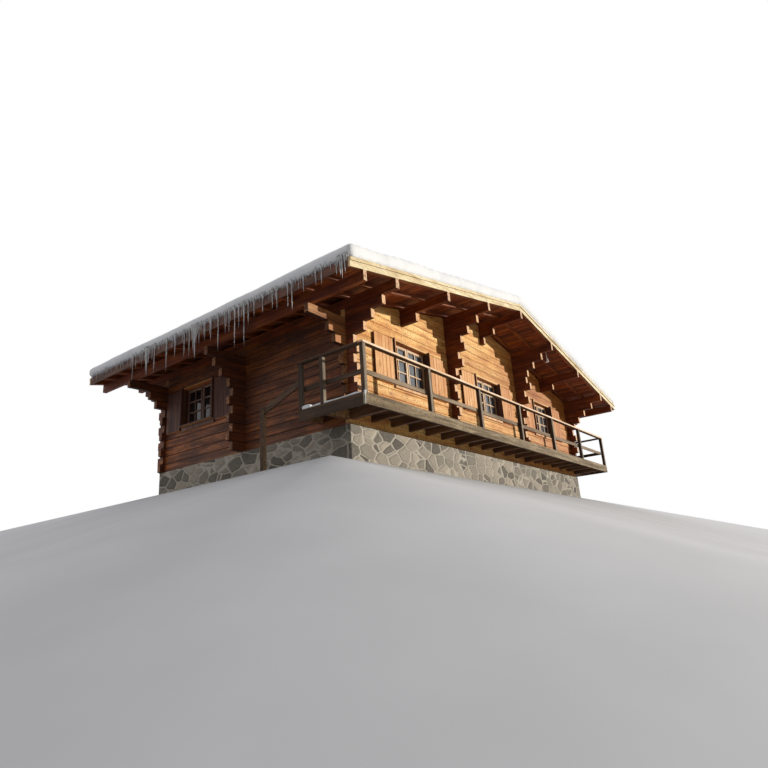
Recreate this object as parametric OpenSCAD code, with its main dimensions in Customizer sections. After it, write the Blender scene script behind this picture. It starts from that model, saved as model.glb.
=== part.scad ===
// Alpine chalet of squared logs: three bays wide, low gable roof under snow,
// balcony across the gable front. Millimetres, +Z up, ground at Z 0,
// origin under the middle of the house, gable front towards -Y.

/* [Walls] */
// Distance between the centre lines of the two side walls
wall_span = 11850; // [10500:10:13500]
// Length over the outer faces of the two gable walls
house_len = 6280; // [5800:10:7500]
// Thickness of the squared wall logs
wall_t = 110; // [95:1:150]
// Height of one log course
course_h = 205; // [195:1:220]
// Number of log courses in the side walls
courses = 12; // [12:1:14]
// Chamfer along the edges of each log
log_chamfer = 9; // [4:1:14]
// Height of the masonry plinth above its lowest point
plinth_h = 700; // [500:10:1000]
// Thickness of the plinth walls
plinth_t = 350; // [300:5:450]
// Number of floor beams
beam_count = 9; // [6:1:12]
// Width of the floor beams
beam_w = 120; // [80:5:160]
// Step of the plinth beyond the face of the logs
plinth_step = 40; // [20:1:80]

/* [Log ends] */
// Length of the uppermost long log end at the house corners
stub_long = 275; // [200:1:330]
// Length of the uppermost short log end at the house corners
stub_short = 190; // [130:1:220]
// How much each log end at the corners falls short of the one above
stub_taper = 8; // [0:1:12]
// Length of the uppermost long log end of the inner stacks
inner_long = 550; // [480:1:640]
// Length of the uppermost short log end of the inner stacks
inner_short = 395; // [340:1:460]
// How much each log end of the inner stacks falls short of the one above
inner_taper = 55; // [40:1:65]
// Reach of the lowest corbel log under a purlin
corbel_1 = 465; // [350:1:550]
// Reach of the middle corbel log
corbel_2 = 680; // [600:1:780]
// Reach of the top corbel log
corbel_3 = 970; // [850:1:1100]
// Reach of the single corbel under a mid-bay purlin
mid_corbel = 450; // [250:1:600]
// Reach of the lower corbel log under the ridge purlin
ridge_corbel = 130; // [80:1:240]
// Sideways reach of the bracket log that carries the flying purlin
bracket_reach = 1080; // [950:1:1200]
// Sideways reach of the corner log ends
corner_stub = 135; // [90:1:170]
// Sideways reach of the mid cross wall's log ends
mid_stub = 465; // [380:1:500]

/* [Roof] */
// Roof pitch in degrees
roof_pitch = 11.73; // [9:0.01:16]
// Roof overhang beyond the side walls
eave_overhang = 1375; // [1275:1:1500]
// Roof overhang beyond the gable walls
gable_overhang = 1350; // [1200:1:1600]
// Height of the purlins
purlin_h = 220; // [180:1:260]
// Width of the purlins
purlin_w = 95; // [80:1:130]
// Distance of the flying purlins beyond the side walls' centre lines
fly_out = 1015; // [900:1:1060]
// Height of the rafters
rafter_h = 100; // [80:1:140]
// Width of the rafters
rafter_w = 70; // [50:1:90]
// Number of rafters on each slope
rafter_count = 16; // [10:1:18]
// Thickness of the roof boards on the rafters
board_t = 25; // [18:1:35]
// Thickness of the shingle covering
cover_t = 60; // [40:1:80]
// Thickness of barge boards and eave boards
barge_t = 40; // [30:1:50]
// Thickness of the drip strip on the barge boards
strip_t = 20; // [10:1:30]
// Height of the drip strip
strip_h = 65; // [45:1:80]
// Depth of the snow, square to the roof
snow_h = 280; // [150:5:400]
// Overhang of the snow beyond the eave
snow_lap = 50; // [20:1:100]
// Overhang of the snow beyond the barge boards
snow_verge = 15; // [0:1:40]

/* [Balcony] */
// Height of the floor and the balcony boards above the plinth
floor_rise = 325; // [290:1:400]
// Depth of the balcony in front of the gable wall
deck_depth = 910; // [800:5:1100]
// Width of the side strips beside the side walls
side_deck_w = 625; // [570:5:800]
// Length of the side strips behind the gable wall's face
side_deck_len = 770; // [700:5:1200]
// Thickness of the balcony boards
deck_t = 40; // [30:1:50]
// Height of the edge boards
fascia_h = 220; // [180:1:260]
// Thickness of the edge boards
fascia_t = 50; // [35:1:60]
// Height of the joists
joist_h = 140; // [120:1:160]
// Width of the joists
joist_w = 80; // [60:1:100]
// Number of joists in each bay
bay_joists = 5; // [3:1:6]
// Height of the railing
rail_h = 1000; // [900:5:1150]
// Section of the posts
post_w = 90; // [70:1:110]
// Number of spaces between posts across the front
post_bays = 6; // [5:1:7]
// Distance of the middle side post behind the gable wall's face
side_post = 150; // [100:5:400]
// Thickness of the cap rail
cap_t = 45; // [35:1:60]
// Width of the cap rail
cap_w = 120; // [100:1:150]
// Top of the middle rail above the boards
mid_rail_z = 490; // [440:1:540]
// Height of the middle rail board
mid_rail_h = 95; // [75:1:120]
// Thickness of the middle rail board
mid_rail_t = 35; // [25:1:45]
// Length of the sloping handrail behind the left side strip
ramp_len = 1025; // [900:5:1300]
// Height of the sloping handrail's board
ramp_h = 150; // [110:1:180]
// Drop of the sloping handrail along its length
ramp_drop = 350; // [200:5:420]
// Height of the sloping handrail above the boards where it starts
ramp_z = 660; // [560:5:760]

/* [Windows] */
// Distance of the outer gable windows from the middle of their bay, towards the ridge
window_shift = 260; // [0:5:300]
// Width of the gable windows
window_w = 1440; // [1300:5:1500]
// Height of the gable windows
window_h = 1060; // [900:5:1150]
// Height of the gable windows' sills above the balcony
window_sill = 860; // [760:5:900]
// Width of the side windows
side_window_w = 1280; // [1100:5:1350]
// Height of the side windows
side_window_h = 1025; // [850:5:1100]
// Height of the side windows' sills above the balcony
side_sill = 700; // [600:5:760]
// Gap between a side window's back shutter and the log ends of the corner
corner_gap = 75; // [10:5:110]
// Width of the window frame members
frame_w = 95; // [80:1:110]
// Depth of the window frames
frame_d = 70; // [55:1:80]
// Setback of the frames behind the face of the logs
reveal = 105; // [70:1:115]
// Reach of the casings' side and bottom boards beyond the face of the logs
casing_out = 100; // [60:1:120]
// Thickness of the casing boards
casing_t = 35; // [20:1:45]
// Height of the apron board under a window opening
apron_h = 110; // [80:5:140]
// Thickness of the glass
glass_t = 8; // [4:1:20]
// Width of a shutter at the gable windows
shutter_w = 640; // [540:5:680]
// Width of a shutter at the side windows
side_shutter_w = 560; // [450:5:600]
// Thickness of a shutter
shutter_t = 60; // [40:1:70]
// Number of planks in a shutter and in the door
planks = 5; // [3:1:7]
// Width of the grooves between planks
plank_groove = 14; // [6:1:20]
// Height of the shutters below the window opening
shutter_lap = 65; // [40:5:100]
// Distance of the shutters' upper ends below the head of the opening
shutter_drop = 45; // [10:5:90]
// Gap between a window opening and its open shutter
shutter_gap = 60; // [25:1:80]

/* [Back door] */
// Width of the doorway
door_w = 950; // [850:5:1100]
// Height of the doorway
door_h = 1980; // [1900:5:2050]
// Thickness of the door leaf
door_t = 50; // [40:1:60]

/* [Lamp] */
// Distance of the lamp from the middle of the gable
lamp_x = 2400; // [2200:5:3200]
// Length of the stem the lamp hangs on
lamp_stem = 300; // [200:5:360]
// Height of the lamp shade
lamp_h = 110; // [90:1:150]
// Radius of the lamp shade's rim
lamp_r = 55; // [40:1:80]

/* [Hidden] */
joint_gap = 0.6;
rise = tan(roof_pitch);
wall_top = plinth_h + courses * course_h;
deck_top = plinth_h + floor_rise;
bay = wall_span / 3;
window_x = bay - window_shift;
half_w = wall_span / 2 + wall_t / 2;
half_len = house_len / 2;
side_window_y = half_len - wall_t - corner_gap - side_shutter_w - shutter_gap - side_window_w / 2;
half_roof = half_w + eave_overhang;
roof_len = half_len + gable_overhang;
barge_back = roof_len - strip_t - barge_t;
eave_in = half_roof - barge_t;
roof_t = rafter_h + board_t + cover_t;
deck_x = half_w + side_deck_w;
deck_y = half_len + deck_depth;
deck_end = half_len - side_deck_len;
rail_in = deck_y - post_w;
post_x = deck_x - post_w / 2;
fly_x = wall_span / 2 + fly_out;
sash_bar = 120;
corner_ends = [stub_long, stub_short, stub_taper, 0.6 * stub_long, 0.6 * stub_short];
inner_ends = [inner_long, inner_short, inner_taper, 0.8 * stub_long, 0.8 * stub_short];
side_corner_ends = [corner_stub, corner_stub / 2, 0, 0, 0];
side_mid_ends = [mid_stub, mid_stub - 100, 0, 0, 0];
wood = "peru";
shade_wood = "saddlebrown";

// Underside of the rafters, and the flat underside of a purlin, at a distance x from the ridge
function plane_z(x) = wall_top + purlin_h + (wall_span / 2 - abs(x)) * rise;
function seat_z(x) = plane_z(x) - purlin_h;
// Bottom of the lowest course when courses are counted down from a top
function count_down(top, base) = ceil((top - base) / course_h - 0.001);

// Outline of n squared logs lying on each other: thickness along x, height along y
function log_outline(n, t) = concat(
    [for (k = [0:n - 1]) each [[log_chamfer, k * course_h], [0, k * course_h + log_chamfer],
        [0, (k + 1) * course_h - log_chamfer]]],
    [[log_chamfer, n * course_h], [t - log_chamfer, n * course_h]],
    [for (k = [n - 1:-1:0]) each [[t, (k + 1) * course_h - log_chamfer],
        [t, k * course_h + log_chamfer], [t - log_chamfer, k * course_h]]]);

// Reach of log end number k, counted from the top: first the corbels, then long and short in turn.
// ends: uppermost long and short end, taper from end to end, least long and short end
function reach(k, corbels, ends, long_first) =
    let (m = k - len(corbels), i = m % 2 == (long_first ? 0 : 1) ? 0 : 1)
    m < 0 ? corbels[k] : max(ends[i] - m * ends[2], ends[3 + i]);

// Stepped outline of a stack of log ends: reach along x, height along y
function stack_outline(top, base, corbels, ends, long_first) = concat(
    [[0, base], [0, top]],
    [for (k = [0:count_down(top, base) - 1])
        let (l = reach(k, corbels, ends, long_first), z1 = top - k * course_h,
            z0 = max(base, z1 - course_h))
        each [[l - log_chamfer, z1], [l, z1 - log_chamfer], [l, z0 + log_chamfer], [l - log_chamfer, z0]]]);

// Sweeps an outline drawn in x and z from y0 to y1
module along_y(y0, y1) {
    translate([0, y1, 0]) rotate([90, 0, 0]) linear_extrude(y1 - y0) children();
}

// Sweeps an outline drawn in y and z from x0 to x1
module along_x(x0, x1) {
    translate([x0, 0, 0]) rotate([90, 0, 90]) linear_extrude(x1 - x0) children();
}

// A box from one corner to the other
module box(a, b) {
    translate(a) cube(b - a);
}

module both_sides() {
    children();
    mirror([1, 0, 0]) children();
}

// Log ends that come out of the -Y face of a gable wall at x
module gable_stack(x, top, base, corbels, ends, long_first) {
    n = count_down(top, base);
    intersection() {
        along_x(x - wall_t / 2, x + wall_t / 2) translate([-half_len, 0]) mirror([1, 0])
            polygon(stack_outline(top, base, corbels, ends, long_first));
        along_y(-half_len - corbel_3 - 1, -half_len) translate([x - wall_t / 2, top - n * course_h])
            polygon(log_outline(n, wall_t));
    }
}

// Log ends that come out of the -X face of a side wall, at the cross wall whose centre is at y
module side_stack(y, base, corbels, ends, long_first) {
    top = wall_top - course_h;
    intersection() {
        along_y(y - wall_t / 2, y + wall_t / 2) translate([-half_w, 0]) mirror([1, 0])
            polygon(stack_outline(top, base, corbels, ends, long_first));
        along_x(-half_w - bracket_reach - 1, -half_w)
            translate([y - wall_t / 2, plinth_h]) polygon(log_outline(courses - 1, wall_t));
    }
}

// Masonry plinth
module plinth_gable() {
    color("darkgray") box([-half_w - plinth_step, -half_len - plinth_step, 0],
        [half_w + plinth_step, -half_len - plinth_step + plinth_t, plinth_h]);
}

module plinth_side() {
    y = half_len + plinth_step - plinth_t;
    color("darkgray") box([-half_w - plinth_step, -y, 0], [-half_w - plinth_step + plinth_t, y, plinth_h]);
}

// Floor boards between the walls
module ground_floor() {
    x = half_w - wall_t;
    y = half_len - wall_t;
    color("burlywood") box([-x, -y, deck_top - deck_t], [x, y, deck_top]);
}

// Floor beams that rest on the plinth
module floor_beams() {
    x = half_w - wall_t - beam_w / 2;
    y = half_len - wall_t;
    color("burlywood") for (i = [0:beam_count - 1])
        translate([-x + i * 2 * x / (beam_count - 1), 0, 0])
            box([-beam_w / 2, -y, plinth_h], [beam_w / 2, y, deck_top - deck_t]);
}

// Gable wall at -Y with its purlin notches
module gable_logs() {
    n = ceil((plane_z(0) - plinth_h) / course_h);
    xi = half_w - wall_t;
    intersection() {
        along_x(-half_w, half_w) translate([-half_len, plinth_h]) polygon(log_outline(n, wall_t));
        along_y(-half_len - 1, -half_len + wall_t + 1) difference() {
            polygon([[-half_w, plinth_h], [half_w, plinth_h], [half_w, wall_top], [xi, wall_top],
                [xi, plane_z(xi)], [0, plane_z(0)], [-xi, plane_z(xi)], [-xi, wall_top], [-half_w, wall_top]]);
            for (x = [-bay, -bay / 2, 0, bay / 2, bay])
                translate([x - purlin_w / 2, seat_z(x)]) square([purlin_w, 2 * purlin_h]);
        }
    }
}

// Cut through the -Y wall for a window centred at x
module window_hole(x) {
    box([x - window_w / 2, -half_len - 1, deck_top + window_sill],
        [x + window_w / 2, -half_len + wall_t + 1, deck_top + window_sill + window_h]);
}

module front_wall() {
    color(wood) difference() {
        gable_logs();
        for (i = [-1:1]) window_hole(i * window_x);
    }
}

module back_wall() {
    color(shade_wood) mirror([0, 1, 0]) difference() {
        gable_logs();
        for (i = [-1, 1]) window_hole(i * window_x);
        box([-door_w / 2, -half_len - 1, deck_top], [door_w / 2, -half_len + wall_t + 1, deck_top + door_h]);
    }
}

// Side wall at -X between the gable walls
module side_wall() {
    y = half_len - wall_t;
    z = deck_top + side_sill;
    color(shade_wood) difference() {
        along_y(-y, y) translate([-half_w, plinth_h]) polygon(log_outline(courses, wall_t));
        box([-half_w - 1, side_window_y - side_window_w / 2, z],
            [-half_w + wall_t + 1, side_window_y + side_window_w / 2, z + side_window_h]);
    }
}

// Ends of the four long walls, stepped out under the purlins above them; in neighbouring stacks
// the long ends lie a course apart
module gable_log_ends(base) {
    corbels = [corbel_3, corbel_2, corbel_1];
    for (s = [-1, 1]) {
        gable_stack(s * wall_span / 2, wall_top, base, corbels, corner_ends, s > 0);
        gable_stack(s * bay / 2, seat_z(bay / 2), base, corbels, inner_ends, s < 0);
    }
}

// Ends of the gable logs and of the mid cross wall, stepped out under the flying purlin
module side_brackets() {
    steps = [bracket_reach, 0.47 * bracket_reach, 0.3 * bracket_reach];
    mid_steps = [bracket_reach, 0.8 * bracket_reach, 0.63 * bracket_reach];
    corner_y = half_len - wall_t / 2;
    color(wood) {
        side_stack(-corner_y, deck_top, steps, side_corner_ends, false);
        side_stack(0, plinth_h, mid_steps, side_mid_ends, true);
        side_stack(corner_y, plinth_h, steps, side_corner_ends, false);
    }
}

// Short corbels under the purlins that no cross wall carries
module small_corbels() {
    color(wood) {
        for (x = [-bay, bay]) gable_corbel(x, [mid_corbel]);
        gable_corbel(0, [mid_corbel, ridge_corbel]);
    }
}

module gable_corbel(x, corbels) {
    n = len(corbels);
    top = seat_z(x);
    along_x(x - purlin_w / 2, x + purlin_w / 2) translate([-half_len, 0]) mirror([1, 0])
        polygon(stack_outline(top, top - n * course_h, corbels, corner_ends, true));
}

// Purlin at x with a flat underside and a top cut to the roof's slope
module purlin(x, w, seat) {
    end = roof_len - strip_t;
    color(wood) along_y(-end, end)
        polygon([[x - w / 2, seat], [x + w / 2, seat], [x + w / 2, plane_z(x + w / 2)],
            [x, plane_z(x)], [x - w / 2, plane_z(x - w / 2)]]);
}

module left_purlins() {
    purlin(-bay / 2, purlin_w, seat_z(bay / 2));
    purlin(-bay, purlin_w, seat_z(bay));
    purlin(-wall_span / 2, wall_t, wall_top);
    purlin(-fly_x, purlin_w, wall_top - course_h);
}

// A layer of the -X slope, lifted above the underside of the rafters
module slope(x0, x1, lift, thick, y0, y1) {
    along_y(y0, y1) polygon([[-x0, plane_z(x0) + lift], [-x1, plane_z(x1) + lift],
        [-x1, plane_z(x1) + lift + thick], [-x0, plane_z(x0) + lift + thick]]);
}

module rafters() {
    y_end = barge_back - rafter_w / 2;
    color(shade_wood) both_sides() for (i = [0:rafter_count - 1]) {
        y = -y_end + i * 2 * y_end / (rafter_count - 1);
        slope(joint_gap / 2, eave_in, 0, rafter_h, y - rafter_w / 2, y + rafter_w / 2);
    }
}

module roof_boards() {
    color("sienna") both_sides() slope(joint_gap / 2, eave_in, rafter_h, board_t, -barge_back, barge_back);
}

module roof_shingles() {
    color("dimgray") both_sides()
        slope(joint_gap / 2, eave_in, rafter_h + board_t, cover_t, -barge_back, barge_back);
}

// Barge boards with a drip strip along their upper edge
module barge() {
    color("wheat") both_sides() union() {
        slope(joint_gap / 2, half_roof, 0, roof_t, -barge_back - barge_t, -barge_back);
        slope(joint_gap / 2, half_roof, roof_t - strip_h, strip_h, -roof_len, -barge_back - barge_t);
    }
}

module eave_boards() {
    color(shade_wood) both_sides() slope(eave_in, half_roof, 0, roof_t, -barge_back, barge_back);
}

// Snow on both slopes, round at the eaves
module roof_snow() {
    r = snow_h / 2;
    deep = snow_h / cos(roof_pitch);
    x = half_roof + snow_lap - r;
    xb = x - r * sin(roof_pitch);
    xt = x + r * sin(roof_pitch);
    y = roof_len + snow_verge;
    color("white") both_sides() along_y(-y, y) union() {
        polygon([[-xb, plane_z(xb) + roof_t], [-joint_gap / 2, plane_z(joint_gap / 2) + roof_t],
            [-joint_gap / 2, plane_z(joint_gap / 2) + roof_t + deep], [-xt, plane_z(xt) + roof_t + deep]]);
        translate([-x, plane_z(x) + roof_t + deep / 2]) circle(r, $fn = 48);
    }
}

// Logs of the long walls that run out under the balcony
module balcony_beams() {
    z0 = deck_top - fascia_h;
    z1 = deck_top - deck_t;
    color(shade_wood) {
        for (x = [-wall_span / 2, -bay / 2, bay / 2, wall_span / 2])
            box([x - wall_t / 2, fascia_t - deck_y, z0], [x + wall_t / 2, -half_len, z1]);
        both_sides() box([fascia_t - deck_x, -half_len, z0], [-half_w, -half_len + wall_t, z1]);
    }
}

module balcony_joists() {
    z0 = deck_top - deck_t - joist_h;
    z1 = deck_top - deck_t;
    step = bay / (bay_joists + 1);
    edge = deck_x - fascia_t;
    color(shade_wood) {
        for (b = [-1:1], i = [1:bay_joists])
            translate([b * bay - bay / 2 + i * step, 0, 0])
                box([-joist_w / 2, fascia_t - deck_y, z0], [joist_w / 2, -half_len, z1]);
        both_sides() {
            box([-edge, fascia_t - deck_y, z0], [-edge + joist_w, -half_len, z1]);
            box([-edge, -deck_end - joist_w, z0], [-half_w, -deck_end, z1]);
        }
    }
}

module front_deck() {
    edge = deck_x - fascia_t;
    color("tan") box([-edge, fascia_t - deck_y, deck_top - deck_t], [edge, -half_len, deck_top]);
}

module side_decks() {
    color("tan") both_sides()
        box([fascia_t - deck_x, -half_len, deck_top - deck_t], [-half_w, -deck_end, deck_top]);
}

module front_edge_board() {
    color("rosybrown") box([-deck_x, -deck_y, deck_top - fascia_h], [deck_x, fascia_t - deck_y, deck_top]);
}

module side_edge_boards() {
    color("rosybrown") both_sides()
        box([-deck_x, fascia_t - deck_y, deck_top - fascia_h], [fascia_t - deck_x, -deck_end, deck_top]);
}

module railing_post(x, y) {
    box([x - post_w / 2, y - post_w / 2, deck_top], [x + post_w / 2, y + post_w / 2, deck_top + rail_h - cap_t]);
}

module railing_posts() {
    color("tan") {
        for (i = [0:post_bays]) railing_post(-post_x + i * 2 * post_x / post_bays, -deck_y + post_w / 2);
        both_sides() {
            railing_post(-post_x, -half_len + side_post);
            railing_post(-post_x, -deck_end - post_w / 2);
        }
    }
}

module front_cap_rail() {
    over = (cap_w - post_w) / 2;
    z = deck_top + rail_h;
    color("wheat") box([-deck_x - over, -deck_y - over, z - cap_t], [deck_x + over, -deck_y - over + cap_w, z]);
}

module front_mid_rail() {
    z = deck_top + mid_rail_z;
    x = post_x - post_w / 2 - mid_rail_t;
    color("tan") box([-x, -rail_in, z - mid_rail_h], [x, -rail_in + mid_rail_t, z]);
}

module side_rails() {
    over = (cap_w - post_w) / 2;
    z = deck_top + rail_h;
    zm = deck_top + mid_rail_z;
    xi = post_x - post_w / 2;
    color("tan") both_sides() {
        box([-deck_x - over, -deck_y - over + cap_w, z - cap_t], [-deck_x - over + cap_w, -deck_end, z]);
        box([-xi, -rail_in, zm - mid_rail_h], [-xi + mid_rail_t, -deck_end, zm]);
    }
}

// Sloping handrail that leads down behind the left side strip, with its own post
module ramp_handrail() {
    y0 = -deck_end;
    y1 = y0 + ramp_len;
    z0 = deck_top + ramp_z;
    z1 = z0 - ramp_drop;
    color("burlywood") union() {
        along_x(-post_x - mid_rail_t / 2, -post_x + mid_rail_t / 2)
            polygon([[y0, z0 - ramp_h], [y1, z1 - ramp_h], [y1, z1], [y0, z0]]);
        box([-post_x - post_w / 2, y1, 0], [-post_x + post_w / 2, y1 + post_w, z1]);
    }
}

// Upright board of planks with a groove at each joint on its -Y face, its back on y 0
module plank_board(w, h, t) {
    linear_extrude(h) polygon(concat([[0, 0], [w, 0], [w, -t]],
        [for (i = [planks - 1:-1:1]) let (x = i * w / planks)
            each [[x + plank_groove / 2, -t], [x, plank_groove / 2 - t], [x - plank_groove / 2, -t]]],
        [[0, -t]]));
}

// Boards that line a window opening and stand proud of the logs, the head board by its thickness only, with an
// apron board below
module casing(w, h) {
    difference() {
        union() {
            box([0, -casing_out, 0], [w, reveal, h]);
            box([0, -casing_t, -apron_h], [w, 0, 0]);
        }
        box([casing_t, -casing_out - 1, casing_t], [w - casing_t, reveal + 1, h - casing_t]);
        box([casing_t, -casing_out - 1, casing_t], [w - casing_t, -casing_t, h + 1]);
    }
}

// Frame with a middle bar, its outer face on y 0, its lower left corner at the origin
module casement(w, h) {
    difference() {
        box([0, 0, 0], [w, frame_d, h]);
        for (x = [frame_w, w / 2 + sash_bar / 2])
            box([x, -1, frame_w], [x + (w - sash_bar) / 2 - frame_w, frame_d + 1, h - frame_w]);
    }
}

// The two panes of a casement
module panes(w, h) {
    y = (frame_d - glass_t) / 2;
    for (x = [frame_w, w / 2 + sash_bar / 2])
        box([x, y, frame_w], [x + (w - sash_bar) / 2 - frame_w, y + glass_t, h - frame_w]);
}

// Puts its children at each gable window, front and back
module at_gable_windows() {
    for (i = [-1:1]) at_window(i) children();
    mirror([0, 1, 0]) for (i = [-1, 1]) at_window(i) children();
}

module at_window(i) {
    translate([i * window_x - window_w / 2, -half_len, deck_top + window_sill]) children();
}

// Puts its children at the window of each side wall
module at_side_windows() {
    both_sides() translate([-half_w, side_window_y + side_window_w / 2, deck_top + side_sill])
        rotate([0, 0, -90]) children();
}

// The two open shutters of a window
module shutters(w, h, leaf) {
    for (x = [-shutter_gap - leaf, w + shutter_gap])
        translate([x, 0, -shutter_lap]) plank_board(leaf, h + shutter_lap - shutter_drop, shutter_t);
}

module window_casings() {
    color("burlywood") {
        at_gable_windows() casing(window_w, window_h);
        at_side_windows() casing(side_window_w, side_window_h);
    }
}

module window_frames() {
    color("tan") {
        at_gable_windows() translate([0, reveal, 0]) casement(window_w, window_h);
        at_side_windows() translate([0, reveal, 0]) casement(side_window_w, side_window_h);
    }
}

module window_glass() {
    color("lightblue") {
        at_gable_windows() translate([0, reveal, 0]) panes(window_w, window_h);
        at_side_windows() translate([0, reveal, 0]) panes(side_window_w, side_window_h);
    }
}

module window_shutters() {
    color("peru") {
        at_gable_windows() shutters(window_w, window_h, shutter_w);
        at_side_windows() shutters(side_window_w, side_window_h, side_shutter_w);
    }
}

// Plank door in its frame, set in the doorway
module back_door() {
    z = deck_top;
    color("sienna") mirror([0, 1, 0]) translate([0, -half_len + reveal, 0]) union() {
        difference() {
            box([-door_w / 2, 0, z], [door_w / 2, frame_d, z + door_h]);
            box([-door_w / 2 + frame_w, -1, z], [door_w / 2 - frame_w, frame_d + 1, z + door_h - frame_w]);
        }
        translate([-door_w / 2 + frame_w, door_t, z])
            plank_board(door_w - 2 * frame_w, door_h - frame_w, door_t);
    }
}

// Bell-shaped lamp that hangs from the roof boards between the first two rafters of the right slope
module eave_lamp() {
    y = -barge_back + rafter_w / 2 + (barge_back - rafter_w / 2) / (rafter_count - 1);
    plate = 12;
    color("whitesmoke") translate([lamp_x, y, plane_z(lamp_x) + rafter_h]) union() {
        rotate([0, roof_pitch, 0]) translate([0, 0, -plate]) cylinder(h = plate, r = 34, $fn = 48);
        translate([0, 0, -lamp_stem]) cylinder(h = lamp_stem - plate, r = 12, $fn = 32);
        translate([0, 0, -lamp_stem - lamp_h]) cylinder(h = lamp_h, r1 = lamp_r, r2 = 24, $fn = 48);
    }
}

plinth_gable();  // plinth_front
mirror([0, 1, 0]) plinth_gable();  // plinth_back
plinth_side();  // plinth_left
mirror([1, 0, 0]) plinth_side();  // plinth_right
ground_floor();
floor_beams();
front_wall();
back_wall();
side_wall();  // left_wall
mirror([1, 0, 0]) side_wall();  // right_wall
color(wood) gable_log_ends(deck_top);  // front_log_ends
color(wood) mirror([0, 1, 0]) gable_log_ends(plinth_h);  // back_log_ends
side_brackets();  // left_brackets
mirror([1, 0, 0]) side_brackets();  // right_brackets
small_corbels();  // front_corbels
mirror([0, 1, 0]) small_corbels();  // back_corbels
purlin(0, purlin_w, seat_z(0));  // ridge_purlin
left_purlins();
mirror([1, 0, 0]) left_purlins();  // right_purlins
rafters();
roof_boards();
roof_shingles();
barge();  // front_barge
mirror([0, 1, 0]) barge();  // back_barge
eave_boards();
roof_snow();
balcony_beams();
balcony_joists();
front_deck();
side_decks();
front_edge_board();
side_edge_boards();
railing_posts();
front_cap_rail();
front_mid_rail();
side_rails();
ramp_handrail();
window_casings();
window_frames();
window_glass();
window_shutters();
back_door();
eave_lamp();
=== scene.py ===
# Looks of the alpine chalet: logs, boards, windows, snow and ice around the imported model, in metres.
import math
import random

import bpy
from mathutils import Matrix, Vector, noise


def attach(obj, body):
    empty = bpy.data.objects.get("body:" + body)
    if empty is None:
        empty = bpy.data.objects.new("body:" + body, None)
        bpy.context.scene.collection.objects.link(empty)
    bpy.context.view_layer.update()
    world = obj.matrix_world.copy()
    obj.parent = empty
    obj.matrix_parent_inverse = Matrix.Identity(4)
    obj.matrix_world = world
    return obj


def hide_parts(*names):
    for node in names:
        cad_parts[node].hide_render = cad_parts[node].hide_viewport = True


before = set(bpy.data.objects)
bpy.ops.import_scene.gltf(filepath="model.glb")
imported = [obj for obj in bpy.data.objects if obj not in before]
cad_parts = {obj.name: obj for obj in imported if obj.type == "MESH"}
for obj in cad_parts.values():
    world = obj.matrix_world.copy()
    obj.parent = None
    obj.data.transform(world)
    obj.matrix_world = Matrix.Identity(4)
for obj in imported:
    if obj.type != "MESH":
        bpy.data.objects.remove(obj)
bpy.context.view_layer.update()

# ---------------------------------------------------------------- camera
FOCAL_PX, FRAME_PX, SENSOR = 602.609, 768, 36
EYE = (-14.684, -10.454, -2.184)
YAW, TILT, ROLL = math.radians(53.519), math.radians(17.85), math.radians(-3.904)


def place_camera():
    """The photograph's viewpoint, downhill in front of the left corner."""
    forward = Vector((math.sin(YAW) * math.cos(TILT), math.cos(YAW) * math.cos(TILT), math.sin(TILT)))
    level = Vector((math.cos(YAW), -math.sin(YAW), 0))
    over = level.cross(forward)
    right = math.cos(ROLL) * level + math.sin(ROLL) * over
    up = math.cos(ROLL) * over - math.sin(ROLL) * level
    lens = bpy.data.cameras.new("viewpoint")
    lens.sensor_width = SENSOR
    lens.lens = FOCAL_PX / FRAME_PX * SENSOR
    lens.clip_end = 400
    eye = bpy.data.objects.new("viewpoint", lens)
    turn = Matrix((right, up, -forward)).transposed().to_4x4()
    eye.matrix_world = Matrix.Translation(EYE) @ turn
    bpy.context.collection.objects.link(eye)
    bpy.context.scene.camera = eye


place_camera()

# ---------------------------------------------------------------- sizes repeated from the model, metres
HALF_W, HALF_LEN = 5.980, 3.140          # faces of the log walls
BAY, WALL_LINE = 3.950, 5.925            # between two wall lines; middle of a side wall
COURSE, PLINTH = 0.205, 0.700            # height of a log; top of the plinth
PITCH = math.radians(11.73)
RISE = math.tan(PITCH)
RAFTER_FOOT, RAFTER_H = 3.380, 0.100     # underside of the rafters over the side walls; their height
BOARD_T, ROOF_T = 0.025, 0.185           # roof boards; rafters, boards and shingles together
ROOF_END, EAVE = 4.430, 7.315            # inner faces of barge and eave boards
DECK, DECK_T = 1.025, 0.040              # top and thickness of the balcony boards
DECK_X, DECK_Y, DECK_END = 6.605, 4.050, 2.370      # outer faces of the edge boards; where the side strips end
EDGE_T = 0.050                           # edge boards
POST, POST_BAYS, SIDE_POST = 0.090, 6, 0.150        # square of a post; bays of the front; side post behind the gable
POST_X = DECK_X - POST / 2
RAIL_TOP = DECK + 1.0
CAP_T, CAP_W = 0.045, 0.120              # cap rail
MID_LOW, MID_HIGH, MID_T = DECK + 0.395, DECK + 0.490, 0.035
GABLE_WINDOW, SIDE_WINDOW = (1.440, 1.060), (1.280, 1.025)      # openings, width and height
GABLE_WINDOW_X, GABLE_WINDOW_Z = 3.690, 2.415
SIDE_WINDOW_Y, SIDE_WINDOW_Z = 1.695, 2.2375
REVEAL, CASING_OUT = 0.105, 0.100        # frames behind, casings before the faces of the logs
CASING_T, APRON = 0.035, 0.110           # casing boards; board under the sill


def rafter_line(x):
    """Height of the underside of the rafters at a distance x from the ridge."""
    return RAFTER_FOOT + (WALL_LINE - abs(x)) * RISE


# ---------------------------------------------------------------- modelling helpers
def let_go():
    """Leaves edit mode and selects nothing."""
    if bpy.context.object and bpy.context.object.mode != "OBJECT":
        bpy.ops.object.mode_set(mode="OBJECT")
    bpy.ops.object.select_all(action="DESELECT")


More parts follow.
